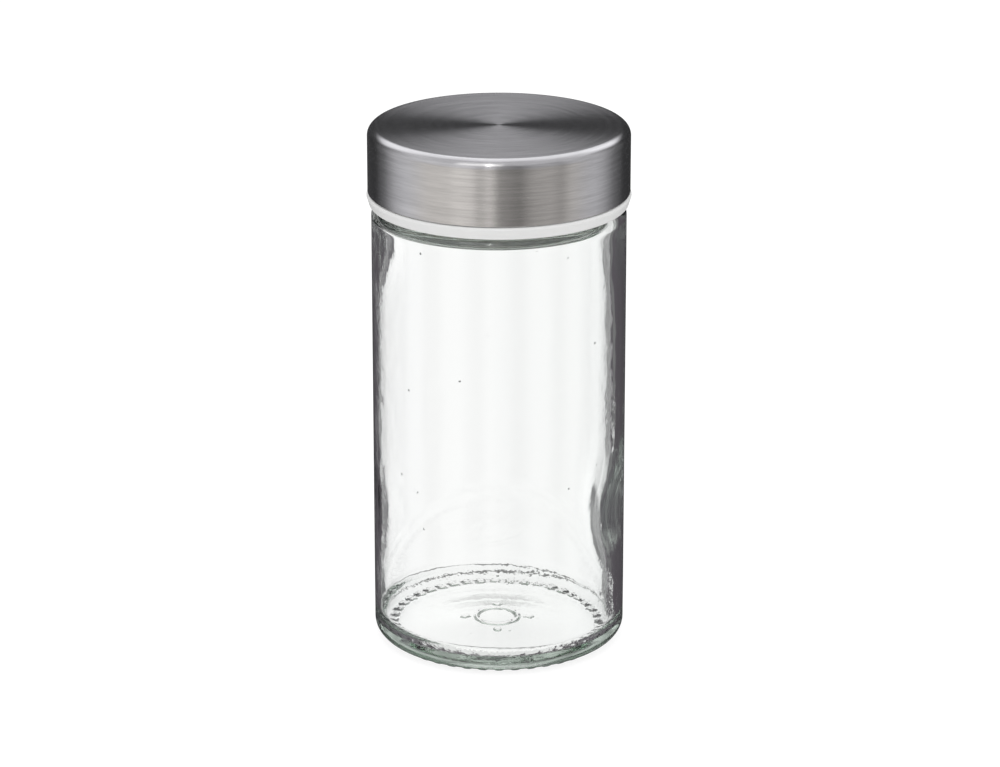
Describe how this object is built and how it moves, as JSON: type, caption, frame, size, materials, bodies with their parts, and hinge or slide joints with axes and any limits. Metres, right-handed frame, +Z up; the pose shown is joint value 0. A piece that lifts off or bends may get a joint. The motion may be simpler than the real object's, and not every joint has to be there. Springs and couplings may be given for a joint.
{
  "type": "screw-top glass canister",
  "caption": "Round straight-sided glass canister with a screw neck and a brushed steel lid over a white threaded inner cap and a sealing disc.",
  "frame": {"origin": "on the jar's axis, at the plane the foot stands on", "axes": "+Z up along the jar's axis; +X towards the lower start of the neck thread"},
  "size_m": [0.0518, 0.0518, 0.1055],
  "materials": {
    "glass": "clear, faint green at the edges",
    "brushed_steel": "brushed in circles on top and around the side",
    "white_cap": "satin white moulding",
    "liner": "matt foam"
  },
  "bodies": {
    "jar": {"glass_jar": "glass"},
    "seal": {"seal_liner": "liner"},
    "lid": {"lid_shell": "brushed_steel", "inner_cap": "white_cap"}
  },
  "joints": [
    {"name": "lid_lift", "type": "slide", "parent": "jar", "child": "seal", "axis": [0, 0, 1], "range_m": [0, 0.015]},
    {"name": "lid_turn", "type": "hinge", "parent": "seal", "child": "lid", "pos_m": [0, 0, 0.0965], "axis": [0, 0, 1], "range_deg": [0, 1260]}
  ],
  "couplings": [
    {"joint": "lid_lift", "follows": "lid_turn", "m_per_rad": 0.00066845}
  ]
}
